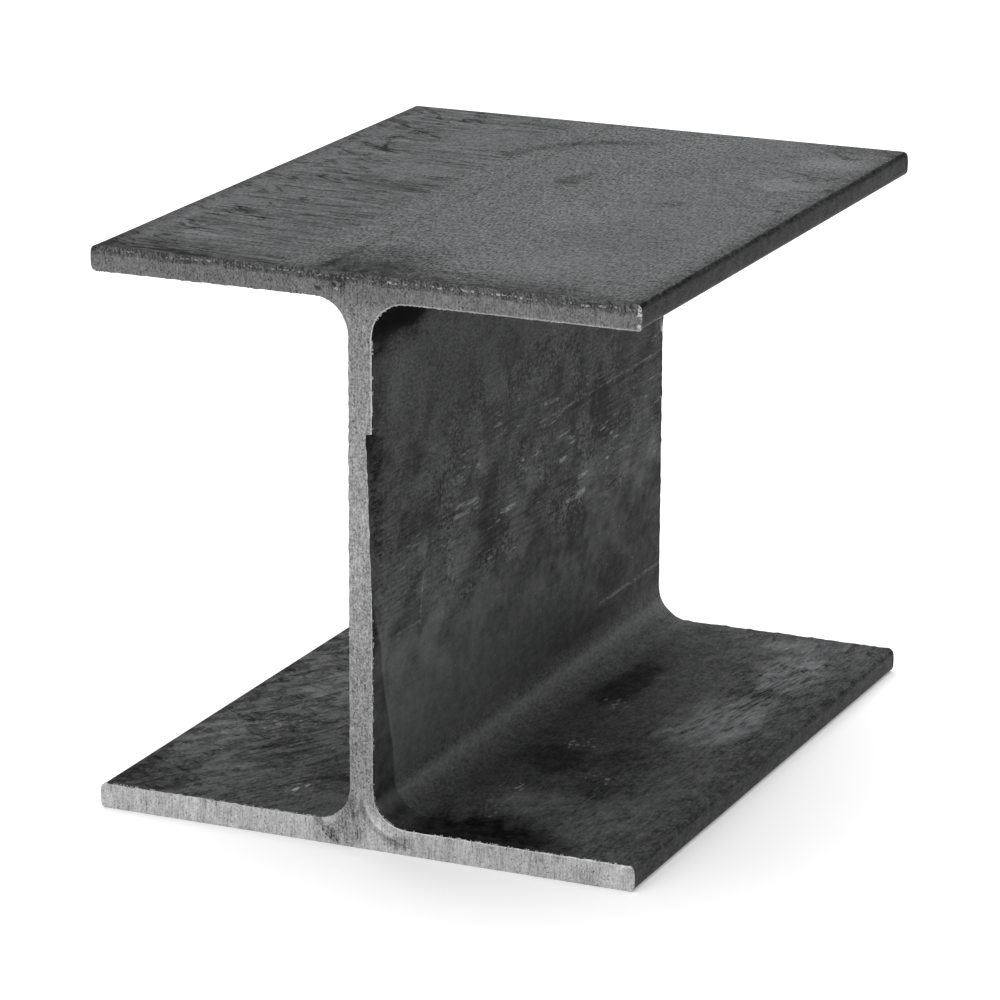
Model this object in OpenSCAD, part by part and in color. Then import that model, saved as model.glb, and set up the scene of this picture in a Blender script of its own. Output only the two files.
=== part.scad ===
// Short sawn length of a rolled steel H-beam, lying on one flange.
// Units are millimetres. X runs across the flanges, Y along the beam and Z up the depth.
// The origin is the middle of the bottom flange's underside, and the nicked sawn end is at -Y.

/* [Overall] */
// Depth of the section, over both flanges
beam_depth = 152; // [120:1:200]
// Width of each flange, edge to edge
flange_width = 152; // [100:1:200]
// Length between the two sawn ends
beam_length = 195; // [80:1:400]

/* [Flanges and web] */
// Thickness of each flange
flange_t = 6.7; // [5:0.1:10]
// Thickness of the web
web_t = 6.4; // [5:0.1:12]

/* [Rounding left by the rolls] */
// Radius of the fillet between web and flange
root_r = 9.5; // [4:0.5:16]
// Radius on the two long corners of each flange edge
toe_r = 1.5; // [0.5:0.1:2.4]

/* [Nick in the web's front end] */
// Drop from the beam's top to the nick's square top step
nick_drop = 41; // [30:1:50]
// Height of the nick, from the step down to where it dies out
nick_height = 48; // [20:1:50]
// Depth of the nick at the step, across the web
nick_depth = 1.7; // [0.6:0.1:2.4]
// Reach of the nick along the beam at the step
nick_reach = 6; // [2:0.5:12]

/* [Hidden] */
$fn = 96;

steel = [0.33, 0.33, 0.34];

// Every outline point below is for the upper right quarter, and the rest is mirrored.
half_width = flange_width / 2;
half_web = web_t / 2;
half_depth = beam_depth / 2;
flange_under = half_depth - flange_t;

// Centre of the fillet's arc, in the corner under the flange.
fillet_x = half_web + root_r;
fillet_z = flange_under - root_r;

// How far cutters stand outside the steel, and how far joined outlines run into each other.
clear = 2;

// Square corner less its rounding, which trims one long corner of a flange.
module toe_cutter() {
    difference() {
        square(toe_r + clear);
        circle(r = toe_r);
    }
}

// Right half of the top flange.
module half_flange_outline() {
    difference() {
        translate([0, flange_under])
            square([half_width, flange_t]);
        translate([half_width - toe_r, half_depth - toe_r])
            toe_cutter();
        translate([half_width - toe_r, flange_under + toe_r])
            mirror([0, 1])
                toe_cutter();
    }
}

// Upper half of the web's right side, with the fillet that carries it into the flange.
module half_web_outline() {
    square([half_web, fillet_z + clear]);
    difference() {
        translate([0, fillet_z])
            square([fillet_x, root_r + clear]);
        translate([fillet_x, fillet_z])
            circle(r = root_r);
    }
}

// Upper right quarter of the section, about its own centre.
module quarter_outline() {
    half_flange_outline();
    half_web_outline();
}

// Right half of the section.
module right_outline() {
    quarter_outline();
    mirror([0, 1])
        quarter_outline();
}

// Whole section, standing on the floor line.
module section_outline() {
    translate([0, half_depth]) {
        right_outline();
        mirror([1, 0])
            right_outline();
    }
}

// Wedge bitten out of the web's +X face at the front end. It is deepest at a square step
// at its top, and dies out downwards and along the beam.
module nick() {
    grown = (nick_depth + clear) / nick_depth;
    deep_x = half_web - nick_depth;
    outer_x = half_web + clear;
    front_y = -beam_length / 2;
    step_z = beam_depth - nick_drop;
    intersection() {
        translate([0, front_y + nick_reach + clear, 0])
            rotate([90, 0, 0])
                linear_extrude(height = nick_reach + 2 * clear)
                    polygon([
                        [deep_x, step_z],
                        [outer_x, step_z],
                        [outer_x, step_z - nick_height * grown]
                    ]);
        translate([0, 0, step_z - nick_height - clear])
            linear_extrude(height = nick_height + 2 * clear)
                polygon([
                    [deep_x, front_y],
                    [deep_x, front_y - clear],
                    [outer_x, front_y - clear],
                    [outer_x, front_y + nick_reach * grown]
                ]);
    }
}

module h_beam() {
    color(steel)
        difference() {
            translate([0, beam_length / 2, 0])
                rotate([90, 0, 0])
                    linear_extrude(height = beam_length)
                        section_outline();
            nick();
        }
}

h_beam();
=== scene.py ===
# Short sawn length of rolled steel H-beam, lying on one flange on a pale studio floor.
import math

import bmesh
import bpy
from mathutils import Matrix, Vector


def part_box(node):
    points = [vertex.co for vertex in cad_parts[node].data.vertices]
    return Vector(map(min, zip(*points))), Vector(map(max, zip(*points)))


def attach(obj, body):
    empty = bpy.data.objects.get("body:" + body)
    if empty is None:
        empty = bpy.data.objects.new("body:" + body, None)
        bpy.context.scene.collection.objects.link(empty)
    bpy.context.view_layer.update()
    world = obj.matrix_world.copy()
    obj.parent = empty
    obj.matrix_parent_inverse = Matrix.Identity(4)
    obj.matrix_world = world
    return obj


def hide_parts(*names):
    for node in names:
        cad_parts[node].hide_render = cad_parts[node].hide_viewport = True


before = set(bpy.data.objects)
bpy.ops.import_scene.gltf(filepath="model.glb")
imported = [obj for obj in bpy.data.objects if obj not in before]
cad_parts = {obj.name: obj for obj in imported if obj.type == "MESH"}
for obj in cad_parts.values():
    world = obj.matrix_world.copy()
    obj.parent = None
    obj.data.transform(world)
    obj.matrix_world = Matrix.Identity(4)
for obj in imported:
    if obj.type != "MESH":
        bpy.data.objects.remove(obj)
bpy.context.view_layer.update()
print("frame loaded")

scene = bpy.context.scene
mm = 0.001


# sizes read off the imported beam
def readSection(node):
    # the back end is a clean cut, so its corners give the section
    points = [vertex.co for vertex in node.data.vertices]
    low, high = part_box("h_beam")
    hair = 0.01 * mm
    endPoints = [p for p in points if p.y > high.y - hair]
    halfWidth = high.x
    outer = [p for p in endPoints if p.x > 0.5 * halfWidth]
    inner = [p for p in endPoints if 0 < p.x <= 0.5 * halfWidth]
    edgeX = min(p.x for p in outer)
    flangeTop = min(p.z for p in outer if p.x < edgeX + hair and p.z > mm)
    return {
        "front": low.y,
        "back": high.y,
        "halfWidth": halfWidth,
        "depth": high.z,
        "flange": flangeTop,
        "toe": halfWidth - edgeX,
        "halfWeb": min(p.x for p in inner),
        "root": max(p.x for p in inner) - min(p.x for p in inner),
    }


beam = readSection(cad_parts["h_beam"])
beam["length"] = beam["back"] - beam["front"]
beam["middle"] = beam["depth"] / 2
print("section:", {key: round(value / mm, 2) for key, value in beam.items()})


# node helpers, the same for geometry and for finishes
class Desk:
    def __init__(self, tree):
        self.tree = tree

    def feed(self, socket, value):
        if isinstance(value, bpy.types.NodeSocket):
            self.tree.links.new(value, socket)
        elif value is not None:
            socket.default_value = value

    def add(self, kind, inputs=None, **settings):
        node = self.tree.nodes.new(kind)
        for name, value in settings.items():
            setattr(node, name, value)
        for name, value in (inputs or {}).items():
            self.feed(node.inputs[name], value)
        return node

    def calc(self, operation, *values, clamp=False):
        node = self.tree.nodes.new("ShaderNodeMath")
        node.operation = operation
        node.use_clamp = clamp
        for socket, value in zip(node.inputs, values):
            self.feed(socket, value)
        return node.outputs[0]

    def chain(self, operation, values):
        total = values[0]
        for value in values[1:]:
            total = self.calc(operation, total, value)
        return total

    def plus(self, *values):
        return self.chain("ADD", values)

    def times(self, *values):
        return self.chain("MULTIPLY", values)

    def smallest(self, *values):
        return self.chain("MINIMUM", values)

    def largest(self, *values):
        return self.chain("MAXIMUM", values)

    def minus(self, a, b):
        return self.calc("SUBTRACT", a, b)

    def gap(self, a, b):
        # how far apart two values are
        return self.calc("ABSOLUTE", self.minus(a, b))

    def more(self, a, b):
        return self.calc("GREATER_THAN", a, b)

    def less(self, a, b):
        return self.calc("LESS_THAN", a, b)

    def ramp(self, value, low, high, start=0.0, end=1.0):
        # smooth step from start to end as value goes from low to high
        node = self.add("ShaderNodeMapRange", interpolation_type="SMOOTHSTEP")
        for socket, item in zip(node.inputs, (value, low, high, start, end)):
            self.feed(socket, item)
        return node.outputs[0]

    def band(self, value, low, high, soft):
        # one inside low..high, falling off over soft on both sides
        return self.times(self.ramp(value, low - soft, low), self.ramp(value, high, high + soft, 1.0, 0.0))

    def vector(self, operation, *values):
        node = self.tree.nodes.new("ShaderNodeVectorMath")
        node.operation = operation
        for socket, value in zip(node.inputs, values):
            self.feed(socket, value)
        return node.outputs["Value" if operation in ("LENGTH", "DISTANCE", "DOT_PRODUCT") else "Vector"]

    def scale(self, vector, factor):
        return self.add("ShaderNodeVectorMath", {0: vector, "Scale": factor}, operation="SCALE").outputs[0]

    def pack(self, x, y, z):
        return self.add("ShaderNodeCombineXYZ", {"X": x, "Y": y, "Z": z}).outputs[0]

    def split(self, vector):
        return self.add("ShaderNodeSeparateXYZ", {"Vector": vector}).outputs[:]

    def noise(self, place, stretch=(1, 1, 1), size=10.0, detail=2.0, rough=0.5, seed=0.0, warp=0.0):
        # size is the grid the coarsest lumps lie on, in the units of place; each seed looks elsewhere
        step = tuple(part / size for part in stretch)
        shift = self.pack(self.times(seed, 7.3), self.times(seed, 11.9), self.times(seed, 5.1))
        scaled = self.vector("MULTIPLY_ADD", place, step, shift)
        node = self.add("ShaderNodeTexNoise", {
            "Vector": scaled, "Scale": 1.0, "Detail": detail, "Roughness": rough, "Distortion": warp,
        })
        return node.outputs[0]

    def swing(self, noise, gain):
        # turns a 0..1 pattern into one that swings about zero
        return self.times(self.minus(noise, 0.5), gain)

    def ridge(self, noise, width):
        # thin lines where the noise crosses its middle
        return self.ramp(self.gap(noise, 0.5), 0.0, width, 1.0, 0.0)


# section sheet: a tidy grid over the sawn end
sheetSize = {
    "webColumns": 18,
    "webRows": 78,
    "filletRows": 10,
    "flangeRows": 8,
    "flangeColumns": 42,
    "toeColumns": 5,
    "edgeCrown": 0.25 * mm,
    "stepRow": 0.3 * mm,
}

# the nick in the web's front end
nickSize = {
    "top": 111 * mm,
    "height": 48 * mm,
    "depth": 1.7 * mm,
    "reach": 6 * mm,
}


def spread(start, end, count):
    return [start + (end - start) * i / count for i in range(count + 1)]


def webHeights(low, high):
    # rows close up at the nick's step so that it stays crisp
    step = nickSize["top"]
    below = round(sheetSize["webRows"] * (step - low) / (high - low))
    lowerRows = spread(low, step - sheetSize["stepRow"], below)
    upperRows = spread(step, high, sheetSize["webRows"] - below)
    return lowerRows + upperRows


def buildSheet():
    sheet = bmesh.new()
    found = {}

    def corner(x, z):
        key = (round(x / (0.001 * mm)), round(z / (0.001 * mm)))
        if key not in found:
            found[key] = sheet.verts.new((x, beam["front"], z))
        return found[key]

    def fill(rows):
        for lower, upper in zip(rows, rows[1:]):
            for i in range(len(lower) - 1):
                sheet.faces.new([corner(*p) for p in (lower[i], lower[i + 1], upper[i + 1], upper[i])])

    rootX = beam["halfWeb"] + beam["root"]
    flangeUnder = beam["middle"] - beam["flange"]
    rootZ = flangeUnder - beam["root"]
    columns = sheetSize["webColumns"]

    # web
    heights = webHeights(beam["middle"] - rootZ, beam["middle"] + rootZ)
    fill([[(x, z) for x in spread(-beam["halfWeb"], beam["halfWeb"], columns)] for z in heights])

    # fillets and flanges, upper ones first, then the same mirrored down
    toe = beam["toe"]
    toeX = beam["halfWidth"] - toe
    straight = spread(rootX, toeX, sheetSize["flangeColumns"])
    for side in (1, -1):
        def place(x, z):
            return (x, beam["middle"] + side * z)

        rows = []
        for k in range(sheetSize["filletRows"] + 1):
            turn = math.pi / 2 * k / sheetSize["filletRows"]
            half = rootX - beam["root"] * math.cos(turn)
            height = rootZ + beam["root"] * math.sin(turn)
            rows.append([place(x, height) for x in spread(-half, half, columns)])
        fill(rows if side == 1 else rows[::-1])

        stations = [(x, beam["flange"] / 2) for x in straight]
        for k in range(1, sheetSize["toeColumns"] + 1):
            turn = math.pi / 2 * k / sheetSize["toeColumns"]
            stations.append((toeX + toe * math.sin(turn), beam["flange"] / 2 - toe + toe * math.cos(turn)))
        middleZ = beam["middle"] - beam["flange"] / 2
        rightHalf = [(x, half) for x, half in stations[1:]]
        leftHalf = [(-x, half) for x, half in stations[::-1]]
        centre = [(x, beam["flange"] / 2) for x in spread(-rootX, rootX, columns)]
        across = leftHalf[:-1] + centre + rightHalf
        rows = []
        for level in spread(-1.0, 1.0, sheetSize["flangeRows"]):
            row = []
            for x, half in across:
                pull = max(0.0, abs(x) - toeX) / toe
                high = level * half
                inset = sheetSize["edgeCrown"] * pull * (2 * high / beam["flange"]) ** 2
                row.append(place(x - math.copysign(inset, x), middleZ + high))
            rows.append(row)
        fill(rows if side == 1 else rows[::-1])
    mesh = bpy.data.meshes.new("beamSheet")
    sheet.to_mesh(mesh)
    sheet.free()
    return mesh


# patterns shared by the skin's shape and its colour, worked in millimetres
skinPattern = {
    "wrinkleGap": 3.4,
    "wrinkleLine": 0.085,
    "wrinkleGroup": 20.0,
    "crackGap": 7.0,
    "crackLine": 0.05,
    "crackGroup": 11.0,
    "seed": 3.0,
}


def crossWrinkles(desk, place):
    # creases that run across the beam in loose groups, most of them on the left half of each flange
    x, y, z = desk.split(place)
    bent = desk.pack(x, desk.plus(y, desk.times(x, 0.07)), z)
    seed = skinPattern["seed"]
    field = desk.noise(bent, (0.09, 1.0, 0.2), skinPattern["wrinkleGap"], 2.0, 0.45, seed, 0.3)
    line = desk.ridge(field, skinPattern["wrinkleLine"])
    lean = desk.ramp(x, -10.0, 10.0, 0.12, 0.0)  # the left side is the more wrinkled one
    group = desk.noise(place, (0.5, 1.0, 1.0), skinPattern["wrinkleGroup"], 2.0, 0.5, seed + 2)
    group = desk.ramp(desk.plus(group, lean), 0.48, 0.60)
    middle = beam["middle"] / mm
    upper = desk.ramp(z, middle + 65.0, middle + 68.0)
    lower = desk.ramp(z, middle - 68.0, middle - 65.0, 0.35, 0.0)
    rightShare = desk.plus(desk.times(upper, 0.35), desk.times(lower, 0.4))
    leftShare = desk.plus(upper, lower)
    reach = desk.band(desk.calc("ABSOLUTE", x), 26.0, 64.0, 6.0)
    side = desk.ramp(x, -10.0, 10.0, leftShare, rightShare)
    where = desk.times(group, reach, side)
    return desk.times(line, where), desk.times(desk.swing(field, 1.0), where)


def edgeCracks(desk, place):
    # short slanting cracks in the scale, gathered in patches towards the flange edges
    x, y, z = desk.split(place)
    seed = skinPattern["seed"]
    slanted = desk.pack(
        desk.plus(desk.times(x, 0.6), y),
        desk.times(desk.minus(x, desk.times(y, 0.6)), 0.3),
        desk.times(z, 0.3),
    )
    field = desk.noise(slanted, (1.0, 1.0, 1.0), skinPattern["crackGap"], 3.0, 0.55, seed + 6, 0.25)
    line = desk.ridge(field, skinPattern["crackLine"])
    patch = desk.noise(place, (1.0, 1.0, 1.0), skinPattern["crackGroup"], 2.0, 0.5, seed + 8)
    fromFront = desk.minus(y, beam["front"] / mm)
    lean = desk.plus(desk.ramp(x, -30.0, 30.0, 0.05, -0.09), desk.ramp(fromFront, 60.0, 150.0, -0.04, 0.05))
    patch = desk.ramp(desk.plus(patch, lean), 0.50, 0.60)
    reach = desk.band(desk.calc("ABSOLUTE", x), 50.0, 71.0, 5.0)
    return desk.times(line, patch, reach)


# mill scale on the rolled skin
# marks are (across, along, half width, half length, change of tone)
# strokes are (across and along at one end, the same at the other, half thickness, change of tone)
scaleLook = {
    "tone": 0.098,
    "tint": (0.985, 1.0, 1.02),
    "roughness": 0.46,
    "metal": 0.0,
    "specular": 0.03,
    "bump": 0.12 * mm,
    # the web is painted darker than the flanges as shade, and less dark low down as painted light thrown up
    # from below
    "webTone": 0.45,
    "webBounceTone": 0.83,
    "footTone": 0.84,
    "toeTone": 0.36,
    "lowToeTone": 0.50,
    "rightTone": 0.07,
    "cloud": 0.35,
    "mottle": 1.0,
    "grain": 3.0,
    "knot": 6.5,
    "webCloud": 0.60,
    "streak": 1.6,
    "flake": 0.58,
    "flakeEdge": -0.45,
    "vein": -0.60,
    "ripple": 0.26,
    "footGrain": 1.5,
    "pitted": 1.8,
    "grainRelief": {"Top": 0.30, "Web": 0.20, "Foot": 0.22},
    "lengthwise": 1.8,
    "crease": -0.50,
    "crack": -0.60,
    "scuff": 3.2,
    "glint": 1.8,
    "chip": 3.2,
    "swell": 0.6,
    "arc": -0.38,
    "topEdge": -0.42,
    "footEdge": -0.28,
    # painted highlight along the lower fillet
    "filletHighlight": 0.80,
    "wedge": -0.66,
    "wedgeSmooth": 0.7,
    "darkest": 0.07,
    "sootShadeMatt": -0.25,
    # on the web: along, then height
    # painted shade under the top flange, with some soot: in the corner, along the crown and down the side
    "sootAndShade": {
        "corner": (8, 141, 38, 12, -0.62),
        "crown": (34, 143, 44, 10, -1.25),
        "side": (2, 126, 8, 20, -0.22),
    },
    # parts of the lower flange where the oil has dulled the streaks
    "footCalm": {
        "front": (27, 3, 32, 22, 1.0),
        "oil": (27, 68, 17, 17, 1.0),
        "root": (15, 130, 10, 60, 1.0),
    },
    # where bright chips gather on the lower flange
    "chips": {
        "front": (24, 40, 4, 9, 1.0),
        "frontNear": (26, 24, 4, 7, 0.5),
        "oilEdge": (27, 82, 5, 6, 0.9),
        "side": (42, 58, 6, 5, 0.7),
        "root": (22, 118, 5, 8, 0.6),
        "left": (-27, 20, 4, 7, 0.6),
        "leftFlakes": (-52, 66, 10, 16, 0.35),
    },
    "topMarks": {
        "rollBruise": (5, 123, 5, 11, -0.34),
        "smallBruise": (41, 106, 4.5, 4.5, -0.30),
        "frontFan": (-1, 17, 19, 18, -0.36),
        "frontFlare": (20, 5, 46, 11, -0.26),
        "cornerGrime": (-60, 7, 26, 15, -0.20),
        "backCorner": (64, 190, 12, 6, -0.28),
        "crackKnot": (-58, 142, 7, 5, -0.22),
        "backKnot": (-54, 160, 8, 5, -0.20),
        "leftNotch": (-60, 51, 7, 4, -0.20),
        "farPale": (62, 171, 13, 9, 0.30),
        "nearPale": (59, 140, 9, 8, 0.30),
        "leftPale": (-56, 130, 10, 5, 0.30),
        "rightShade": (44, 66, 20, 18, -0.07),
        "rightPale": (36, 30, 16, 14, 0.07),
        "middlePale": (20, 84, 16, 16, 0.07),
        "midShade": (-24, 96, 14, 14, -0.08),
        "frontPale": (-58, 22, 10, 5, 0.28),
        "innerPale": (3, 131, 3, 5, 0.20),
    },
    "topStrokes": {
        "wrinkleNear": (-66, 45, -50, 47, 0.9, -0.40),
        "wrinkleFront": (-64, 50, -34, 55, 0.8, -0.45),
        "wrinkleLow": (-60, 31, -30, 34, 0.7, -0.30),
        "wrinkleMiddle": (-62, 81, -36, 84, 0.7, -0.30),
        "wrinkleFar": (-64, 121, -40, 125, 0.8, -0.35),
        "wrinkleBack": (-60, 146, -34, 152, 0.8, -0.35),
        "crackLong": (-68, 170, -50, 157, 0.9, -0.55),
        "crackFork": (-58, 175, -61, 160, 0.7, -0.45),
        "crackBent": (-66, 143, -52, 133, 0.9, -0.50),
        "crackTail": (-62, 150, -58, 138, 0.7, -0.45),
        "crackShort": (-64, 58, -56, 50, 0.8, -0.45),
        "crossOne": (51, 159, 69, 151, 1.0, -0.50),
        "crossTwo": (56, 148, 65, 162, 0.8, -0.40),
        "sideTick": (57, 59, 66, 55, 0.8, -0.35),
    },
    "footMarks": {
        "frontShade": (27, 3, 30, 19, -0.85),
        "oilPatch": (25.5, 68, 13, 13, -0.50),
        "farPatch": (19, 134, 9, 20, -0.68),
        "innerShade": (13, 110, 7, 90, -0.04),
        "smallPatch": (46, 52, 9, 10, -0.35),
        "middleShade": (42, 72, 9, 12, -0.28),
        "frontPale": (33, 36, 12, 12, 0.55),
        "cornerPale": (56, 32, 12, 26, 0.32),
        "middlePale": (54, 113, 14, 28, 1.20),
        "backPale": (57, 162, 11, 20, 1.0),
        # painted sheen, standing in for a reflection
        "backPaintedSheen": (50, 186, 10, 8, 0.65),
        "leftPale": (-66, 52, 9, 14, 0.55),
        # painted sheen, standing in for a reflection
        "leftPaintedSheen": (-52, 95, 12, 16, 0.50),
        "leftFar": (-60, 150, 14, 14, 0.40),
        "leftShade": (-66, 12, 14, 18, -0.45),
        "leftMiddleShade": (-44, 46, 9, 10, -0.22),
        "seamKnot": (-18, 33, 4, 6, -0.55),
        "seamKnotNear": (-23, 28, 3, 3, -0.40),
        "brightChip": (-27.2, 17, 0.7, 1.8, 2.4),
        "brightFleck": (-25.6, 21, 0.6, 1.6, 2.0),
        "brightTip": (-24.4, 25, 0.8, 1.4, 1.6),
        "leftFront": (-52, 22, 16, 12, 0.25),
        "leftInner": (-40, 120, 14, 16, 0.30),
        "backShade": (24, 170, 14, 30, -0.24),
    },
    "footStrokes": {
        "seam": (-42, 4, -13, 44, 0.9, -0.45),
        "seamBack": (-52, 40, -16, 88, 0.8, -0.30),
        "seamFar": (-60, 74, -44, 110, 0.8, -0.35),
        "flakeEdge": (-66, 62, -40, 70, 0.9, -0.40),
        "farCrack": (44, 158, 58, 163, 0.9, -0.55),
        "midCrack": (46, 78, 60, 84, 0.8, -0.40),
    },
    # on the web: along, then height
    "webMarks": {
        "frontDusk": (4, 100, 9, 26, -0.30),
        "frontHaze": (26, 86, 26, 24, -0.22),
        "knotShade": (68, 84, 11, 9, -0.30),
        "cloudA": (74, 69, 9, 11, -0.48),
        "cloudB": (148, 80, 7, 15, -0.42),
        "cloudC": (135, 50, 9, 11, -0.42),
        "cloudD": (158, 31, 12, 8, -0.40),
        "cloudE": (119, 67, 11, 7, -0.36),
        "cloudF": (131, 81, 4, 9, -0.32),
        "cloudG": (152, 112, 8, 14, -0.26),
        "paleFront": (18, 117, 8, 15, 0.40),
        "paleLow": (44, 62, 16, 13, 0.50),
        "paleWedge": (69, 88, 4, 6, 0.90),
        "paleBack": (178, 62, 18, 12, 0.55),
        "middleShade": (98, 56, 50, 16, -0.22),
        "paleFoot": (140, 62, 9, 7, 0.55),
        "paleSide": (31, 73, 4, 3, 0.70),
        "palePatch": (104, 73, 7, 3, 0.70),
    },
    "webStrokes": {
        "long": (106, 87.5, 197, 87.5, 0.55, 1.3),
        "longShade": (120, 86.0, 197, 86.0, 0.6, -0.35),
        "upper": (110, 92.0, 119, 91.2, 0.7, 2.4),
        "backGlint": (192.6, 98.5, 194.6, 93.5, 1.1, 7.0),
        "short": (52, 78.0, 66, 77.0, 0.9, 2.4),
        "shortLow": (50, 75.5, 60, 75.0, 0.8, 2.0),
        "middle": (81, 69.0, 90, 69.0, 1.0, 3.0),
        "dashA": (120, 80.0, 127, 80.0, 0.7, 1.8),
        "dashB": (121, 73.0, 125, 73.0, 1.0, 3.0),
        "dashC": (126, 60.0, 138, 60.5, 1.2, 1.6),
        "dashD": (134, 65.0, 140, 65.0, 0.8, 2.2),
        "dashE": (164, 65.0, 172, 65.0, 0.8, 1.8),
        "low": (150, 23.5, 197, 23.5, 0.8, 0.9),
        "flawSide": (31, 65.0, 29, 53.0, 0.45, 1.2),
        "flawFoot": (29, 53.5, 15, 54.0, 0.45, 0.8),
    },
}

# bare steel on the two cuts; marks are (across, height, half width, half height, change of tone)
sawnLook = {
    "tone": 0.35,
    "tint": (1.0, 1.0, 1.0),
    "roughness": 0.5,
    "metal": 0.25,
    "specular": 0.4,
    "bump": 0.08 * mm,
    "lines": 1.1,
    "grain": 2.5,
    "blotch": 0.8,
    "speck": -0.55,
    "rimWidth": 0.32,
    # painted highlight on the torn rim
    "rim": 1.1,
    "lip": -0.6,
    "lipShade": -0.35,
    "glint": 2.0,
    "swirl": 0.25,
    "darkest": 0.06,
    # brightness from the bottom of the cut to its top: painted light thrown up from the floor below, dirt
    # above
    "bounceAndDirtLevels": ((0.0, 1.30), (0.045, 1.28), (0.10, 0.74), (0.30, 0.72), (0.5, 0.84),
               (0.8, 0.68), (0.93, 0.56), (0.97, 0.37), (1.0, 0.37)),
    "marks": {
        "lowerRootMottle": (-3, 8, 5.0, 8, -0.40),
        "toeShine": (71, 3.5, 5, 4, 0.14),
        "toeShade": (63, 2.5, 4, 3, -0.14),
        "lowerRootShade": (11, 3.2, 4, 2.4, -0.42),
        "lowerRootHaze": (-10, 4, 5, 3.5, -0.22),
        "webStain": (-0.5, 24, 2.6, 9, -0.22),
        "upperRootSmudge": (-7, 149.3, 4.5, 2.2, -0.35),
        "crackMark": (-4.8, 148.6, 1.1, 2.6, -0.45),
        "upperRootLine": (7.5, 149, 1.2, 2.4, -0.18),
        "pitLeft": (-11.5, 147.2, 1.2, 0.8, -0.95),
        "pitRight": (-7.1, 148.5, 0.7, 0.7, -0.9),
        "pitGlint": (-6.4, 147.6, 0.5, 0.5, 1.4),
        "stepGlint": (2.4, 110.4, 0.8, 0.5, 0.9),
    },
    "strokes": {
        "rootSmear": (-12.5, 6.2, -8.0, 1.4, 1.5, -0.62),
        "rootSmearLow": (-9.0, 5.0, -6.5, 1.0, 1.0, -0.50),
        "rootBranch": (-3.5, 13.0, -1.0, 2.5, 0.8, -0.30),
    },
}


def startFinish(name):
    finish = bpy.data.materials.new(name)
    finish.use_nodes = True
    tree = finish.node_tree
    tree.nodes.clear()
    desk = Desk(tree)
    place = desk.add("ShaderNodeTexCoord").outputs["Object"]
    place = desk.vector("MULTIPLY", place, (1 / mm, 1 / mm, 1 / mm))  # patterns are worked in millimetres
    return finish, desk, place


def addMarks(desk, marks, a, b, wobble):
    # soft-edged blots, with edges that wander
    spot = desk.pack(a, b, 0.0)
    blots = []
    for across, along, halfA, halfB, change in marks.values():
        gain = (1 / halfA, 1 / halfB, 0.0)
        offset = desk.vector("MULTIPLY_ADD", spot, gain, (-across / halfA, -along / halfB, 0.0))
        away = desk.plus(desk.vector("LENGTH", offset), wobble)
        blots.append(desk.ramp(away, 0.5, 1.15, change, 0.0))
    return desk.plus(*blots)


def addStrokes(desk, strokes, a, b, fray, wander):
    # ragged straight lines from one point to another
    spot = desk.pack(a, desk.plus(b, wander), 0.0)
    lines = []
    for startA, startB, endA, endB, thick, change in strokes.values():
        run = Vector((endA - startA, endB - startB, 0.0))
        offset = desk.vector("SUBTRACT", spot, (startA, startB, 0.0))
        share = desk.vector("DOT_PRODUCT", offset, run / run.length_squared)
        nearest = desk.scale(run, desk.calc("MULTIPLY", share, 1.0, clamp=True))
        lines.append(desk.ramp(desk.vector("DISTANCE", offset, nearest), thick * 0.3, thick, change, 0.0))
    return desk.times(desk.plus(*lines), fray)


def endFinish(desk, look, tone, roughness, height):
    colour = desk.vector("MULTIPLY", desk.pack(tone, tone, tone), look["tint"])
    bump = desk.add("ShaderNodeBump", {"Strength": 1.0, "Distance": look["bump"], "Height": height})
    shader = desk.add("ShaderNodeBsdfPrincipled", {
        "Base Color": colour,
        "Metallic": look["metal"],
        "Roughness": roughness,
        "Specular IOR Level": look["specular"],
        "Normal": bump.outputs[0],
    })
    output = desk.add("ShaderNodeOutputMaterial")
    desk.tree.links.new(shader.outputs[0], output.inputs["Surface"])


def zonesOf(desk, place):
    # where a point lies on the section, as masks from nought to one
    x, y, z = desk.split(place)
    absX = desk.calc("ABSOLUTE", x)
    top, wide = beam["depth"] / mm, beam["halfWidth"] / mm
    upperShare = desk.ramp(z, 10.0, 20.0, 0.0, 0.7)  # the upper flange's toes are dark further in
    footBand = desk.times(desk.ramp(z, 5.0, 6.2), desk.ramp(z, 7.0, 13.5, 1.0, 0.0))
    # the band of the lower fillet where a highlight is painted
    highlightBand = desk.times(desk.ramp(z, 7.6, 12.0), desk.ramp(z, 13.0, 14.6, 1.0, 0.0))
    return {
        "x": x, "z": z, "absX": absX,
        "along": desk.minus(y, beam["front"] / mm),
        "top": desk.ramp(z, top - 1.2, top - 0.6),
        "foot": desk.times(footBand, desk.ramp(absX, 8.0, 16.0)),
        "web": desk.times(desk.ramp(absX, 4.0, 10.0, 1.0, 0.0), desk.band(z, 20.0, 142.0, 6.0)),
        "root": desk.times(desk.ramp(absX, 9.0, 14.0, 1.0, 0.0), desk.band(z, 9.0, 138.0, 4.0)),
        "fillet": desk.times(desk.ramp(absX, 3.2, 4.4), highlightBand),
        "toe": desk.ramp(desk.plus(absX, upperShare), wide - 0.8, wide - 0.1),
        "core": desk.ramp(absX, 16.0, 34.0, 1.0, 0.0),
    }


def wedgeAway(desk, zone, wobble):
    # distance past the crisp edge of the dark band beside the web's front cut
    z = zone["z"]
    reach = desk.plus(
        0.5,
        desk.ramp(z, 68.0, 50.0, 0.0, 5.0),
        desk.ramp(z, 52.0, 16.0, 0.0, 7.5),
        desk.times(wobble, 1.2),
    )
    return desk.minus(zone["along"], reach)


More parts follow.
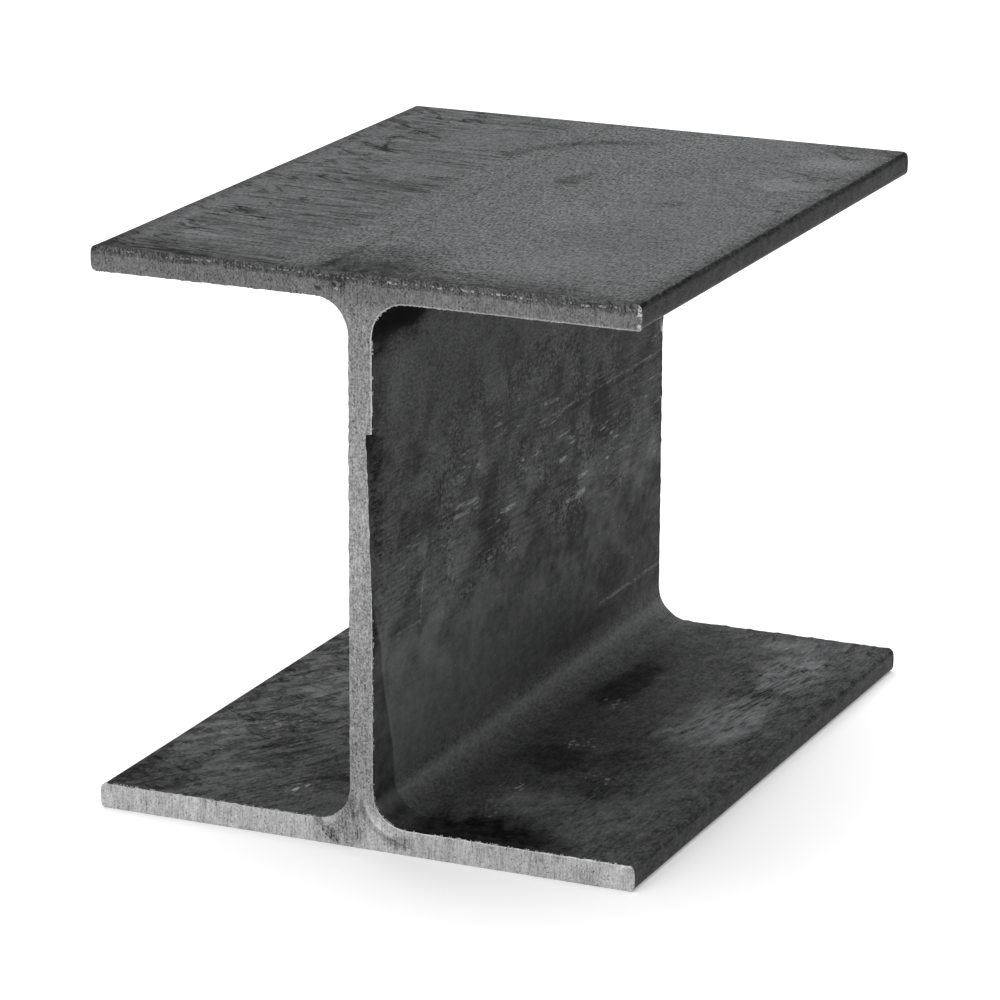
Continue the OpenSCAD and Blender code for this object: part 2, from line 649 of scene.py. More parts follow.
def webTone(desk, place, zone, wobble, edgeAway):
    # clouds, streaks drawn out along the web, rough knots, scuffs, and the pale edge of the dark band beside
    # the front cut
    look = scaleLook
    along, z = zone["along"], zone["z"]
    middle = desk.band(z, 62.0, 94.0, 12.0)
    streak = desk.swing(desk.noise(place, (1, 0.07, 1), 0.9, 2, 0.6, 2.0), look["streak"])
    patch = desk.ramp(desk.noise(place, (1, 0.45, 1), 9, 2, 0.5, 15.0), 0.50, 0.60)
    scuff = desk.ramp(desk.noise(place, (1, 0.16, 1), 0.8, 2, 0.5, 12.0), 0.60, 0.72)
    lean = desk.minus(desk.times(along, 0.5), desk.times(z, 0.16))
    leaning = desk.pack(zone["x"], lean, desk.times(z, 0.55))
    drift = desk.ramp(desk.noise(leaning, (1, 1, 1), 5.5, 2, 0.5, 37.0), 0.38, 0.62)
    rough = desk.swing(desk.noise(place, (1, 0.55, 0.8), 0.7, 3, 0.7, 33.0), look["knot"])
    roughPatch = desk.ramp(desk.noise(place, (1, 0.5, 0.5), 9, 2, 0.5, 35.0), 0.46, 0.60)
    roughZone = desk.times(roughPatch, desk.band(z, 58.0, 104.0, 14.0), desk.band(along, 45.0, 165.0, 25.0))
    fade = desk.ramp(along, 20.0, 180.0, 0.08, -0.22)
    fadeLow = desk.times(desk.ramp(along, 20.0, 180.0, 0.24, -0.30), desk.ramp(z, 70.0, 40.0))
    torn = desk.ramp(desk.noise(place, (1, 0.25, 1), 0.55, 2, 0.6, 39.0), 0.40, 0.60)
    fray = desk.plus(0.2, desk.times(torn, 1.2), streak)
    # the web's left side carries the same marks turned end for end, with fainter strokes
    farSide = desk.ramp(zone["x"], -1.0, 1.0, 1.0, 0.0)
    turned = desk.minus(beam["length"] / mm, desk.times(along, 2.0))
    markAlong = desk.plus(along, desk.times(farSide, turned))
    strength = desk.times(fray, desk.minus(1.0, desk.times(farSide, 0.5)))
    edge = desk.times(
        desk.ramp(desk.gap(edgeAway, 1.2), 0.2, 1.0, 0.15, 0.0),
        desk.band(z, 20.0, 62.0, 4.0),
    )
    return desk.times(zone["web"], desk.plus(
        desk.times(streak, desk.plus(0.35, middle)),
        desk.times(scuff, patch, middle, desk.ramp(along, 10.0, 70.0, 0.4, 1.0), look["scuff"]),
        desk.times(desk.swing(drift, look["webCloud"]), desk.band(z, 48.0, 108.0, 20.0)),
        desk.times(rough, roughZone),
        addMarks(desk, look["webMarks"], markAlong, z, desk.times(wobble, 1.4)),
        addStrokes(desk, look["webStrokes"], markAlong, z, strength, 0.0),
        edge, fade, fadeLow,
    ))


def topTone(desk, place, zone, wobble):
    # marks of the rolls on the top face, and grime along its front and sides
    look = scaleLook
    x, along = zone["x"], zone["along"]
    arcAway = desk.vector("LENGTH", desk.pack(desk.minus(x, 12.0), desk.minus(along, 140.0), 0.0))
    arcLine = desk.ramp(desk.gap(arcAway, desk.plus(35.0, wobble)), 0.5, 5.0, 1.0, 0.0)
    arcSide = desk.times(desk.ramp(x, -4.0, 16.0, 1.0, 0.0), desk.ramp(along, 132.0, 150.0))
    rollLine = desk.plus(
        desk.ramp(desk.gap(x, -12.0), 0.5, 1.6, -0.18, 0.0),
        desk.ramp(desk.gap(x, 14.0), 0.5, 1.6, -0.10, 0.0),
    )
    grimeReach = desk.plus(along, desk.times(wobble, 6.0))
    ragged = desk.swing(desk.noise(place, (0.4, 1, 1), 1.6, 3, 0.65, 43.0), 5.0)
    fray = desk.plus(0.75, desk.times(ragged, 0.9))
    return desk.times(zone["top"], desk.plus(
        desk.times(arcLine, arcSide, look["arc"]),
        rollLine,
        desk.ramp(grimeReach, 0.0, 8.0, -0.30, 0.0),
        desk.ramp(grimeReach, 8.0, 34.0, -0.10, 0.0),
        desk.ramp(desk.plus(zone["absX"], wobble), 68.5, 75.5, 0.0, look["topEdge"]),
        desk.ramp(x, -6.0, 24.0, 0.0, look["rightTone"]),
        addMarks(desk, look["topMarks"], x, along, wobble),
        addStrokes(desk, look["topStrokes"], x, along, fray, ragged),
    ))


def footTone(desk, place, zone, wobble):
    # oily shade, flaking scale and lengthwise streaks on the lower flange
    look = scaleLook
    x, along = zone["x"], zone["along"]
    left = desk.ramp(x, -20.0, 20.0, 1.0, 0.0)
    slanted = desk.pack(desk.minus(x, desk.times(along, 0.48)), along, 0.0)
    leaning = desk.pack(desk.minus(x, desk.times(along, 0.16)), along, 0.0)
    flakes = desk.noise(slanted, (1, 0.5, 1), 4.8, 4, 0.55, 21.0, 0.3)
    flake = desk.swing(desk.ramp(flakes, 0.45, 0.55), look["flake"])
    flakeEdge = desk.times(desk.ridge(flakes, 0.022), left, look["flakeEdge"])
    ripple = desk.add("ShaderNodeTexWave", {
        "Vector": desk.vector("MULTIPLY", slanted, (1.0, 0.4, 0.0)),
        "Scale": 0.12, "Distortion": 6.0, "Detail": 2.0, "Detail Scale": 0.5,
    }, bands_direction="X").outputs["Fac"]
    drawn = desk.swing(desk.noise(place, (1, 0.14, 1), 0.9, 3, 0.65, 23.0), look["lengthwise"])
    drawnZone = desk.plus(
        desk.ramp(left, 0.0, 1.0, 0.40, 0.05),
        desk.times(desk.band(x, 46.0, 66.0, 5.0), 0.6),
        desk.ramp(zone["absX"], 66.0, 70.0, 0.0, 0.5),
    )
    gathered = desk.smallest(addMarks(desk, look["chips"], x, along, wobble), 1.0)
    chip = desk.ramp(desk.noise(place, (1, 0.45, 1), 1.0, 1, 0.5, 27.0), 0.61, 0.70)
    vein = desk.ridge(desk.noise(leaning, (1, 0.13, 1), 2.3, 3, 0.55, 47.0, 0.4), 0.055)
    veinPatch = desk.ramp(desk.noise(place, (1, 0.3, 1), 9.0, 1, 0.5, 49.0), 0.42, 0.58, 0.25, 1.0)
    veinZone = desk.times(desk.band(x, 40.0, 66.0, 8.0), desk.ramp(along, 60.0, 100.0), veinPatch)
    calm = desk.ramp(addMarks(desk, look["footCalm"], x, along, wobble), 0.0, 1.0, 1.0, 0.15)
    rough = desk.swing(desk.noise(place, (1, 0.42, 1), 0.75, 2, 0.6, 29.0), look["footGrain"])
    roughPatch = desk.ramp(desk.noise(place, (1, 0.42, 1), 6.0, 1, 0.5, 30.0), 0.50, 0.62)
    detail = desk.plus(
        desk.times(flake, desk.ramp(left, 0.0, 1.0, 0.30, 1.0), desk.ramp(along, 10.0, 45.0, 0.5, 1.0)),
        flakeEdge,
        desk.times(desk.swing(ripple, look["ripple"]), desk.band(x, -52.0, -22.0, 8.0)),
        desk.times(drawn, drawnZone),
        desk.times(rough, desk.plus(roughPatch, desk.times(left, 0.4))),
        desk.times(vein, veinZone, look["vein"]),
    )
    blots = addMarks(desk, look["footMarks"], x, along, desk.times(wobble, 1.2))
    broken = desk.plus(desk.times(vein, veinPatch, -0.8), desk.times(drawn, 0.6), desk.swing(flakes, 2.2))
    return desk.times(zone["foot"], desk.plus(
        desk.times(detail, calm),
        blots,
        desk.times(desk.largest(blots, 0.0), broken),
        desk.times(chip, gathered, look["chip"]),
        desk.ramp(zone["absX"], 68.0, 74.0, 0.0, look["footEdge"]),
        addStrokes(desk, look["footStrokes"], x, along, desk.plus(0.8, drawn), desk.times(wobble, 3.0)),
    ))


def makeScaleFinish(part):
    # the top, the web and the foot share their grain, and each adds its own marks
    look = scaleLook
    finish, desk, place = startFinish("millScale" + part)
    zone = zonesOf(desk, place)

    # cloud, mottle and grain over everything
    cloud = desk.swing(desk.noise(place, (1, 0.8, 1), 24, 2, 0.5, 1.5), look["cloud"])
    mottle = desk.swing(desk.noise(place, (1, 0.8, 1), 3.0, 3, 0.6, 4.0), look["mottle"])
    grain = desk.swing(desk.noise(place, (1, 0.42, 1), 0.66, 1, 0.6, 7.0), look["grain"])
    wobble = desk.swing(desk.noise(place, (1, 0.42, 1), 7, 4, 0.55, 9.0), 1.1)
    pitted = desk.swing(desk.noise(place, (1, 0.42, 1), 1.2, 3, 0.65, 45.0), look["pitted"])
    skin = desk.minus(1.0, zone["toe"])
    grainGain = [0.6]
    tones = [1.0, cloud, mottle, desk.times(pitted, zone["toe"])]
    relief = [desk.times(grain, look["grainRelief"][part]), desk.times(mottle, 0.5)]
    matt = 0.0

    if part == "Top":
        rightGain = desk.ramp(zone["x"], 10.0, 30.0, 0.0, 0.3)
        grainGain.append(desk.times(zone["top"], desk.plus(desk.times(zone["core"], 0.5), rightGain)))
        tones.append(topTone(desk, place, zone, wobble))
    if part == "Foot":
        tones.append(footTone(desk, place, zone, wobble))
    if part == "Web":
        grainGain.append(desk.times(zone["web"], desk.ramp(zone["z"], 42.0, 84.0, -0.40, 0.40)))
        glint = desk.ramp(desk.noise(place, (1, 0.6, 1), 0.8, 1, 0.5, 31.0), 0.74, 0.80)
        # painted shade under the top flange, with some soot, which also makes the skin rougher there
        sootShadeReach = desk.ramp(zone["absX"], 16.0, 26.0, 1.0, 0.0)
        tones.append(desk.times(glint, zone["web"], look["glint"]))
        sootAndShade = desk.times(addMarks(desk, look["sootAndShade"], zone["along"], zone["z"], wobble), sootShadeReach)
        matt = desk.calc("MULTIPLY", sootAndShade, look["sootShadeMatt"], clamp=True)
        tones.append(sootAndShade)
    else:
        crease, swell = crossWrinkles(desk, place)
        tones.append(desk.times(crease, look["crease"], skin))
        tones.append(desk.times(swell, look["swell"], skin))
        tones.append(desk.times(edgeCracks(desk, place), look["crack"], skin))
        relief.append(desk.times(crease, -0.9))
    grain = desk.times(grain, desk.plus(*grainGain))
    if part != "Top":
        # the dark band beside the web's front cut is smooth
        edgeAway = wedgeAway(desk, zone, wobble)
        wedge = desk.times(desk.ramp(edgeAway, -0.4, 0.6, 1.0, 0.0), zone["root"])
        grain = desk.times(grain, desk.minus(1.0, desk.times(wedge, look["wedgeSmooth"])))
        tones.append(desk.times(wedge, look["wedge"]))
        # painted highlight along the lower fillet
        tones.append(desk.times(zone["fillet"], look["filletHighlight"]))
        if part == "Web":
            tones.append(webTone(desk, place, zone, wobble, edgeAway))

    base = desk.plus(*tones)
    shown = desk.times(grain, desk.ramp(base, 0.1, 0.9, 0.2, 1.0))  # dark oil, soot and painted shade hide the grain
    tone = desk.largest(desk.plus(base, shown), desk.plus(look["darkest"], desk.times(grain, 0.06)))
    # painted shade on the web, lifted low down by painted light thrown up from below
    webShadeAndBounce = desk.ramp(zone["z"], 30.0, 95.0, look["webBounceTone"] - 1.0, look["webTone"] - 1.0)
    toeLevel = desk.ramp(zone["z"], 10.0, 20.0, look["lowToeTone"] - 1.0, look["toeTone"] - 1.0)
    level = desk.plus(
        1.0,
        desk.times(zone["web"], webShadeAndBounce),
        desk.times(zone["foot"], look["footTone"] - 1.0),
        desk.times(zone["toe"], toeLevel),
    )
    tone = desk.times(tone, level, look["tone"])
    roughness = desk.plus(look["roughness"], desk.times(mottle, -0.2), desk.times(grain, 0.1), matt)
    endFinish(desk, look, tone, roughness, desk.plus(*relief))
    return finish


def channelAway(desk, absX, z):
    # distance from the open channel's outline, inwards over the cut face
    rootX = (beam["halfWeb"] + beam["root"]) / mm
    rootZ = (beam["middle"] - beam["flange"] - beam["root"]) / mm
    a = desk.minus(rootX, absX)
    b = desk.minus(desk.gap(z, beam["middle"] / mm), rootZ)
    outside = desk.vector("LENGTH", desk.pack(desk.largest(a, 0.0), desk.largest(b, 0.0), 0.0))
    return desk.minus(desk.plus(outside, desk.smallest(desk.largest(a, b), 0.0)), beam["root"] / mm)


def makeSawnFinish():
    look = sawnLook
    finish, desk, place = startFinish("sawnSteel")
    x, _, z = desk.split(place)
    depth = beam["depth"] / mm
    lines = desk.swing(desk.noise(place, (1, 1, 0.10), 0.42, 2, 0.6, 3.0), look["lines"])
    grain = desk.swing(desk.noise(place, (1, 1, 0.8), 0.46, 2, 0.65, 5.0), look["grain"])
    grain = desk.times(grain, desk.ramp(z, 7.0, 20.0, 0.6, 1.1))  # the lower flange's end is cleaner
    blotch = desk.swing(desk.noise(place, (1, 1, 0.5), 3.2, 3, 0.6, 6.0), look["blotch"])
    speck = desk.ramp(desk.noise(place, (1, 1, 1), 0.6, 1, 0.5, 8.0), 0.66, 0.72)

    # the upper flange's end is dull with dirt, and the lower one's is bright with painted light thrown up
    # from the floor
    rise = desk.add("ShaderNodeFloatCurve", {"Value": desk.calc("DIVIDE", z, depth)})
    curve = rise.mapping.curves[0]
    bounceAndDirtLevels = look["bounceAndDirtLevels"]
    rise.mapping.use_clip = False
    curve.points[0].location = bounceAndDirtLevels[0]
    curve.points[1].location = bounceAndDirtLevels[-1]
    for spot, level in bounceAndDirtLevels[1:-1]:
        curve.points.new(spot, level)
    rise.mapping.update()

    # painted highlight on the torn rim down the right side, and a faint swirl in the lower right fillet
    away = channelAway(desk, desk.calc("ABSOLUTE", x), z)
    jag = desk.noise(place, (1, 1, 1), 0.8, 2, 0.6, 11.0)
    rim = desk.ramp(desk.minus(away, desk.times(jag, look["rimWidth"] * 2)), -0.12, 0.05, 1.0, 0.0)
    rim = desk.times(rim, desk.ramp(x, -1.0, 1.0), desk.ramp(z, 60.0, 120.0, 0.35, 1.0))
    swirl = desk.times(
        desk.plus(desk.band(away, 2.3, 2.9, 0.5), desk.times(desk.band(away, 3.8, 4.6, 0.6), -1.0)),
        desk.band(x, 0.0, 9.0, 3.0), desk.ramp(z, 22.0, 34.0, 1.0, 0.0),
    )

    # rolled-over dirty lip along the top, with bright specks in it and shade under it
    wander = desk.swing(desk.noise(place, (0.25, 1, 1), 1.6, 3, 0.6, 17.0), 1.6)
    lipEdge = desk.plus(depth - 1.75, wander, desk.ramp(x, -40.0, 40.0, 0.0, -0.45))
    lip = desk.ramp(desk.minus(z, lipEdge), -0.35, 0.35)
    glint = desk.times(
        desk.ramp(desk.gap(z, desk.plus(lipEdge, 0.7)), 0.1, 0.4, 1.0, 0.0),
        desk.ramp(desk.noise(place, (1, 1, 1), 0.9, 2, 0.6, 14.0), 0.54, 0.62),
        desk.ramp(x, -30.0, 10.0, 0.55, 1.0),
    )
    chip = desk.ramp(desk.noise(place, (1, 1, 1), 1.1, 1, 0.5, 19.0), 0.50, 0.58)
    toeGlint = desk.times(desk.ramp(x, 74.2, 75.0), desk.ramp(z, 145.0, 147.0), chip)
    blots = desk.plus(
        addMarks(desk, look["marks"], x, z, desk.swing(jag, 0.8)),
        addStrokes(desk, look["strokes"], x, z, desk.plus(0.6, desk.swing(jag, 3.0)), desk.swing(jag, 2.0)),
    )

    underLip = desk.gap(z, desk.minus(lipEdge, 0.3))
    rightLevel = desk.ramp(z, 60.0, 100.0, 0.93, 1.07)
    tone = desk.plus(
        desk.ramp(x, -20.0, 40.0, 0.98, rightLevel), lines, grain, blotch, blots,
        desk.times(speck, look["speck"]),
        desk.times(swirl, look["swirl"]),
        desk.times(rim, look["rim"]), desk.times(lip, look["lip"]), desk.times(glint, look["glint"]),
        desk.ramp(underLip, 0.1, 0.5, look["lipShade"], 0.0),
        desk.times(toeGlint, look["glint"], 1.4),
    )
    tone = desk.times(desk.largest(tone, look["darkest"]), rise.outputs[0], look["tone"])
    height = desk.plus(
        desk.times(lines, 0.6), desk.times(grain, 0.25), desk.times(speck, -0.8), desk.times(rim, 0.5),
    )
    endFinish(desk, look, tone, look["roughness"], height)
    return finish


# the beam: the sheet is drawn out along its length, then roughened
rollSize = {
    "Rings": 128,
    "End crowding": 0.35,
    "Wave height": 0.10 * mm,
    "Wrinkle height": 0.12 * mm,
    "Nick depth": nickSize["depth"],
    "Nick height": nickSize["height"],
    "Nick reach": nickSize["reach"],
    "Nick top": nickSize["top"],
    "Burr height": 0.35 * mm,
    "Burr gap": 0.5 * mm,
    "Burr size": 0.42 * mm,
    "Saw depth": 0.08 * mm,
    "Top coat": 3.0 * mm,
    "Foot coat": 14.0 * mm,
    "Seed": 3.0,
}


def makeRollTree(scaleFinishes, sawnFinish):
    tree = bpy.data.node_groups.new("drawnBeam", "GeometryNodeTree")
    tree.interface.new_socket("Geometry", in_out="INPUT", socket_type="NodeSocketGeometry")
    sizes = {"Length": beam["length"], "Front": beam["front"], "Half web": beam["halfWeb"],
             "Half width": beam["halfWidth"], "Depth": beam["depth"]}
    sizes.update(rollSize)
    keys = {}
    for name, value in sizes.items():
        kind = "NodeSocketInt" if isinstance(value, int) else "NodeSocketFloat"
        item = tree.interface.new_socket(name, in_out="INPUT", socket_type=kind)
        keys[item.identifier] = value
    tree.interface.new_socket("Geometry", in_out="OUTPUT", socket_type="NodeSocketGeometry")
    desk = Desk(tree)
    given = desk.add("NodeGroupInput").outputs

    def moved(geometry, offset):
        return desk.add("GeometryNodeSetPosition", {"Geometry": geometry, "Offset": offset}).outputs[0]

    def markSawn(geometry, value):
        return desk.add("GeometryNodeStoreNamedAttribute", {
            "Geometry": geometry, "Name": "sawnFace", "Value": value,
        }, data_type="FLOAT", domain="FACE").outputs[0]

    def joined(*parts):
        join = desk.add("GeometryNodeJoinGeometry")
        for part in parts:
            tree.links.new(part, join.inputs[0])
        return join.outputs[0]

    # draw out: the sheet's copy is pushed back ring by ring and leaves the walls behind it
    flipped = desk.add("GeometryNodeFlipFaces", {"Mesh": given["Geometry"]})
    opening = tree.nodes.new("GeometryNodeRepeatInput")
    closing = tree.nodes.new("GeometryNodeRepeatOutput")
    opening.pair_with_output(closing)
    desk.feed(opening.inputs["Iterations"], given["Rings"])
    desk.feed(opening.inputs["Geometry"], flipped.outputs[0])
    facing = desk.split(desk.add("GeometryNodeInputNormal").outputs[0])[1]
    step = desk.calc("DIVIDE", given["Length"], given["Rings"])
    push = desk.add("GeometryNodeExtrudeMesh", {
        "Mesh": opening.outputs["Geometry"], "Selection": desk.more(facing, 0.5),
        "Offset": desk.pack(0.0, step, 0.0), "Offset Scale": 1.0, "Individual": False,
    }, mode="FACES")
    desk.feed(closing.inputs["Geometry"], push.outputs["Mesh"])
    both = joined(closing.outputs["Geometry"], given["Geometry"])
    weld = 0.002 * mm
    closed = desk.add("GeometryNodeMergeByDistance", {"Geometry": both, "Distance": weld}).outputs[0]

    # rings crowd towards both ends
    place = desk.add("GeometryNodeInputPosition").outputs[0]
    x, y, z = desk.split(place)
    along = desk.calc("DIVIDE", desk.minus(y, given["Front"]), given["Length"])
    swing = desk.calc("SINE", desk.times(along, 2 * math.pi))
    shift = desk.times(swing, given["End crowding"], given["Length"], -1 / (2 * math.pi))
    crowded = moved(closed, desk.pack(0.0, shift, 0.0))

    # faces of the two cuts
    marked = markSawn(crowded, desk.more(desk.calc("ABSOLUTE", facing), 0.5))

    # nick in the web's front end
    fromFront = desk.minus(y, given["Front"])
    fall = desk.calc("DIVIDE", desk.minus(given["Nick top"], z), given["Nick height"])
    downward = desk.minus(1.0, fall)
    belowStep = desk.less(z, desk.minus(given["Nick top"], 0.1 * mm))
    inward = desk.minus(1.0, desk.calc("DIVIDE", fromFront, given["Nick reach"]))
    ragged = desk.noise(place, size=4 * mm, detail=2, seed=given["Seed"])
    bite = desk.largest(desk.smallest(downward, inward), 0.0)
    bite = desk.times(bite, belowStep, given["Nick depth"], desk.plus(0.8, desk.times(ragged, 0.4)))
    share = desk.calc("DIVIDE", x, given["Half web"])
    onWeb = desk.times(desk.more(x, 0.0), desk.less(share, 1.001))
    nicked = moved(marked, desk.pack(desk.times(bite, share, onWeb, -1.0), 0.0, 0.0))

    # relief along the rolled skin, mostly inwards, dying out at the two cuts
    normal = desk.add("GeometryNodeInputNormal").outputs[0]
    outward = desk.vector("NORMALIZE", desk.vector("MULTIPLY", normal, (1.0, 0.0, 1.0)))
    inPlane = desk.vector("LENGTH", desk.vector("MULTIPLY", normal, (1.0, 0.0, 1.0)))
    onSkin = desk.more(inPlane, 0.3)
    toEnd = desk.smallest(fromFront, desk.minus(given["Length"], fromFront))
    settle = desk.ramp(toEnd, 0.0, 2.5 * mm)
    wave = desk.noise(place, size=42 * mm, detail=2, seed=given["Seed"])
    placeInMm = desk.vector("MULTIPLY", place, (1 / mm, 1 / mm, 1 / mm))
    crease, swell = crossWrinkles(desk, placeInMm)
    crack = edgeCracks(desk, placeInMm)
    sink = desk.plus(
        desk.times(wave, given["Wave height"]),
        desk.times(desk.largest(crease, crack), given["Wrinkle height"]),
        desk.times(swell, given["Wrinkle height"]),
    )
    relief = desk.times(sink, settle, onSkin, -1.0)
    rolled = moved(nicked, desk.scale(outward, relief))

    # burr lip round the inner edges of both cuts
    rim = desk.less(toEnd, 0.05 * mm)
    margin = 0.6 * mm  # keeps the burr off the beam's outermost faces
    innerX = desk.less(desk.calc("ABSOLUTE", x), desk.minus(given["Half width"], 0.4 * mm))
    innerLow = desk.more(z, margin)
    innerHigh = desk.less(z, desk.minus(given["Depth"], margin))
    jag = desk.noise(place, size=1.6 * mm, detail=3, rough=0.7, seed=desk.plus(given["Seed"], 9.0))
    inner = desk.times(innerX, innerLow, innerHigh)
    lip = desk.times(desk.ramp(jag, 0.42, 0.75), given["Burr height"], rim, inner, onSkin)
    burred = moved(rolled, desk.scale(outward, lip))

    # shallow chatter on the sawn faces, pressed inwards
    chatter = desk.noise(place, (1.0, 1.0, 0.35), size=5 * mm, detail=3, seed=desk.plus(given["Seed"], 13.0))
    bare = desk.times(desk.less(inPlane, 0.3), given["Saw depth"])
    inwardY = desk.times(desk.calc("SIGN", facing), bare, chatter, -1.0)
    sawn = moved(burred, desk.pack(0.0, inwardY, 0.0))

    # torn beads of steel left standing along the inner edges of the front cut
    outline = desk.less(desk.add("GeometryNodeInputMeshEdgeNeighbors").outputs[0], 1.5)
    path = desk.add("GeometryNodeMeshToCurve", {"Mesh": given["Geometry"], "Selection": outline})
    spots = desk.add("GeometryNodeCurveToPoints", {
        "Curve": path.outputs[0], "Length": given["Burr gap"],
    }, mode="LENGTH")
    tufts = desk.noise(place, size=3 * mm, detail=2, seed=desk.plus(given["Seed"], 21.0))
    fray = desk.more(tufts, 0.47)
    bead = desk.add("GeometryNodeMeshIcoSphere", {"Radius": 1.0, "Subdivisions": 1})
    bead = desk.add("GeometryNodeSetMaterial", {"Geometry": bead.outputs[0], "Material": sawnFinish})
    spin = desk.add("FunctionNodeRandomValue", {
        "Max": (math.pi, math.pi, math.pi), "Seed": 5,
    }, data_type="FLOAT_VECTOR")
    girth = desk.add("FunctionNodeRandomValue", {
        "Min": (0.3, 0.3, 0.3), "Max": (1.0, 1.0, 1.0), "Seed": 6,
    }, data_type="FLOAT_VECTOR")
    size = desk.scale(girth.outputs[0], given["Burr size"])
    nickFoot = desk.minus(given["Nick top"], given["Nick height"])
    besideNick = desk.times(onWeb, desk.more(z, nickFoot), desk.less(z, given["Nick top"]))
    kept = desk.add("FunctionNodeRandomValue", {"Probability": 0.45, "Seed": 7}, data_type="BOOLEAN")
    inside = desk.times(inner, fray, kept.outputs["Value"], desk.minus(1.0, besideNick))
    beads = desk.add("GeometryNodeInstanceOnPoints", {
        "Points": spots.outputs[0], "Selection": inside, "Instance": bead.outputs[0],
        "Rotation": spin.outputs[0], "Scale": size,
    })
    solidBeads = desk.add("GeometryNodeRealizeInstances", {"Geometry": beads.outputs[0]}).outputs[0]
    seated = moved(solidBeads, desk.pack(0.0, given["Burr size"], 0.0))
    fringed = joined(markSawn(seated, 1.0), sawn)

    # smooth skin, crisp cut edges, and a finish for each part of the section
    named = desk.add("GeometryNodeInputNamedAttribute", {"Name": "sawnFace"}, data_type="FLOAT")
    flag = named.outputs["Attribute"]
    isSawn = desk.more(flag, 0.5)
    smooth = desk.add("GeometryNodeSetShadeSmooth", {
        "Geometry": fringed, "Shade Smooth": True,
    }, domain="FACE")
    border = desk.band(flag, 0.4, 0.6, 0.05)
    crisp = desk.add("GeometryNodeSetShadeSmooth", {
        "Geometry": smooth.outputs[0],
        "Selection": desk.more(border, 0.5),
        "Shade Smooth": False,
    }, domain="EDGE")
    coats = (
        (None, scaleFinishes["Web"]),
        (desk.more(z, desk.minus(given["Depth"], given["Top coat"])), scaleFinishes["Top"]),
        (desk.less(z, given["Foot coat"]), scaleFinishes["Foot"]),
        (isSawn, sawnFinish),
    )
    painted = crisp
    for faces, finish in coats:
        painted = desk.add("GeometryNodeSetMaterial", {
            "Geometry": painted.outputs[0], "Selection": faces, "Material": finish,
        })
    real = desk.add("GeometryNodeRealizeInstances", {"Geometry": painted.outputs[0]})
    output = desk.add("NodeGroupOutput")
    tree.links.new(real.outputs[0], output.inputs[0])
    return tree, keys


def buildBeam():
    scaleFinishes = {part: makeScaleFinish(part) for part in ("Top", "Web", "Foot")}
    sawnFinish = makeSawnFinish()
    print("finishes ready:", len(scaleFinishes) + 1)
    sheet = buildSheet()
    sheet.materials.append(scaleFinishes["Web"])
    blank = bpy.data.objects.new("beamBlank", sheet)
    scene.collection.objects.link(blank)
    tree, keys = makeRollTree(scaleFinishes, sawnFinish)
    drawing = blank.modifiers.new("drawing", "NODES")
    drawing.node_group = tree
    for key, value in keys.items():
        drawing[key] = value
    graph = bpy.context.evaluated_depsgraph_get()
    mesh = bpy.data.meshes.new_from_object(blank.evaluated_get(graph), depsgraph=graph)
    mesh.name = "rolledBeam"
    # the node tree leaves an empty slot
    for index in reversed(range(len(mesh.materials))):
        if mesh.materials[index] is None:
            mesh.materials.pop(index=index)
    blank.modifiers.remove(drawing)
    bpy.data.objects.remove(blank)
    piece = bpy.data.objects.new("rolled_beam", mesh)
    scene.collection.objects.link(piece)
    triangles = sum(len(face.vertices) - 2 for face in mesh.polygons)
    print("beam drawn:", triangles, "triangles,", [slot.name for slot in mesh.materials])
    return piece


piece = buildBeam()
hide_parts("h_beam")
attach(piece, "root")


studio = {
    "worldLight": 0.42,
    "floorTone": 0.93,
    "floorRoughness": 0.9,
    "floorSpecular": 0.1,
    "floorGlow": 0.25,
    "floorHalf": 5.0,
    "lamps": {
        "overhead": {"place": (-0.3, 0.5, 1.7), "size": 1.8, "power": 34},
        "front": {"place": (-0.7, -1.9, 0.9), "size": 1.2, "power": 12},
    },
}


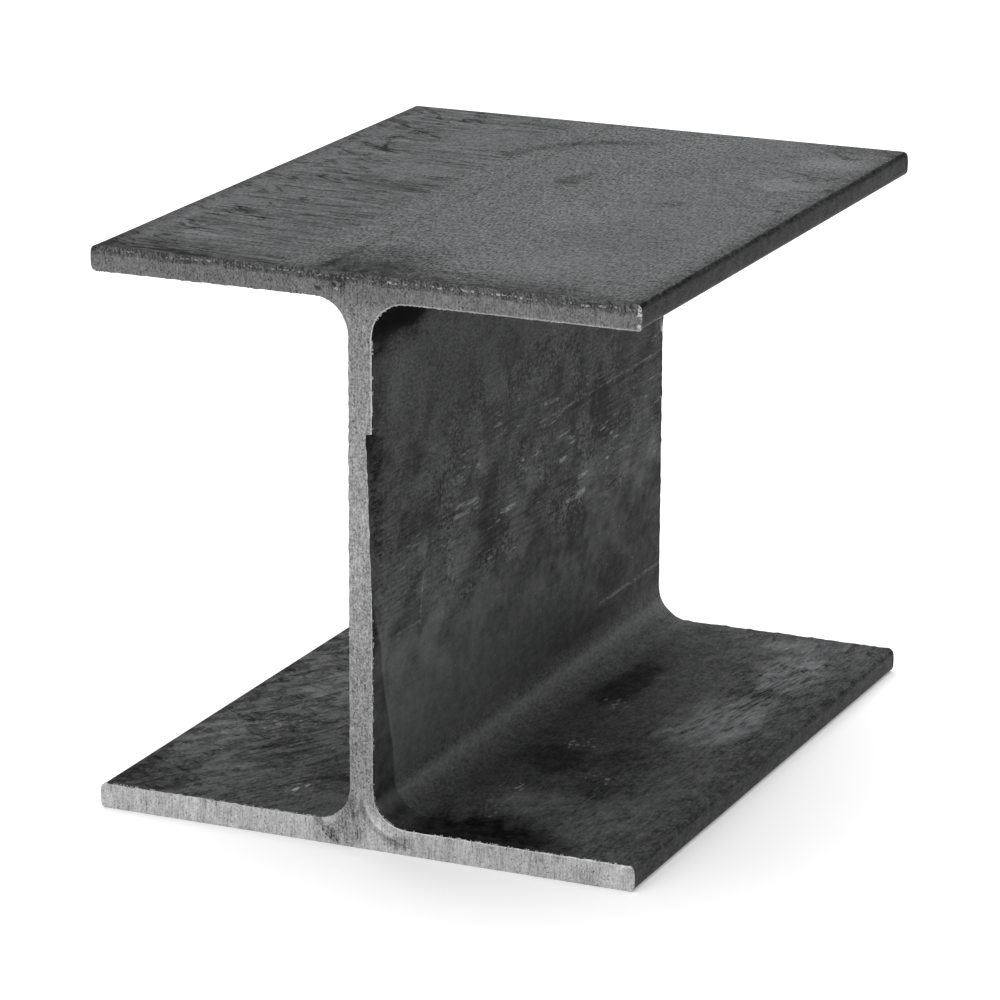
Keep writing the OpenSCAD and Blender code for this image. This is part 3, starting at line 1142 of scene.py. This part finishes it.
def buildFloor():
    mesh = bpy.data.meshes.new("studioFloor")
    half = studio["floorHalf"]
    corners = [(-half, -half, 0), (half, -half, 0), (half, half, 0), (-half, half, 0)]
    mesh.from_pydata(corners, [], [(0, 1, 2, 3)])
    floor = bpy.data.objects.new("studio_floor", mesh)
    scene.collection.objects.link(floor)
    finish = bpy.data.materials.new("paleFloor")
    finish.use_nodes = True
    shader = finish.node_tree.nodes["Principled BSDF"]
    tone = studio["floorTone"]
    shader.inputs["Base Color"].default_value = (tone, tone, tone, 1)
    shader.inputs["Roughness"].default_value = studio["floorRoughness"]
    shader.inputs["Specular IOR Level"].default_value = studio["floorSpecular"]
    shader.inputs["Emission Color"].default_value = (1, 1, 1, 1)
    # a faint glow of its own, like a light table
    shader.inputs["Emission Strength"].default_value = studio["floorGlow"]
    mesh.materials.append(finish)


def buildLights():
    world = bpy.data.worlds.new("studioAir")
    world.use_nodes = True
    world.node_tree.nodes["Background"].inputs["Color"].default_value = (1, 1, 1, 1)
    world.node_tree.nodes["Background"].inputs["Strength"].default_value = studio["worldLight"]
    scene.world = world
    target = Vector((0, 0, beam["middle"]))
    for name, lamp in studio["lamps"].items():
        light = bpy.data.lights.new(name, "AREA")
        light.size = lamp["size"]
        light.energy = lamp["power"]
        holder = bpy.data.objects.new(name, light)
        holder.location = lamp["place"]
        holder.rotation_euler = (target - holder.location).to_track_quat("-Z", "Y").to_euler()
        scene.collection.objects.link(holder)


# a long lens some way off in front of the beam, a little to the right and above
eye = {
    "turn": 0.41597,  # radians round from straight in front
    "rise": 0.28352,
    "roll": 0.00488,
    "distance": 8.42819,  # in beam depths, like the aim below
    "aim": (0.03233, 0.5, 0.48668),
    "lens": 172.97,
    "sensor": 36.0,
    "nearest": 0.05,
}


def buildCamera():
    turn, rise, roll = eye["turn"], eye["rise"], eye["roll"]
    forward = Vector((-math.sin(turn) * math.cos(rise), math.cos(turn) * math.cos(rise), -math.sin(rise)))
    level = forward.cross(Vector((0, 0, 1))).normalized()
    above = level.cross(forward)
    right = math.cos(roll) * level + math.sin(roll) * above
    up = -math.sin(roll) * level + math.cos(roll) * above
    aim = Vector(eye["aim"]) * beam["depth"] + Vector((0, beam["front"], 0))
    spot = aim - forward * eye["distance"] * beam["depth"]
    data = bpy.data.cameras.new("studioCamera")
    data.lens = eye["lens"]
    data.sensor_width = eye["sensor"]
    data.clip_start = eye["nearest"]
    camera = bpy.data.objects.new("studioCamera", data)
    frameMatrix = Matrix((right, up, -forward)).transposed().to_4x4()
    frameMatrix.translation = spot
    camera.matrix_world = frameMatrix
    scene.collection.objects.link(camera)
    scene.camera = camera


buildFloor()
buildLights()
buildCamera()
scene.view_settings.view_transform = "Standard"
print("studio ready")
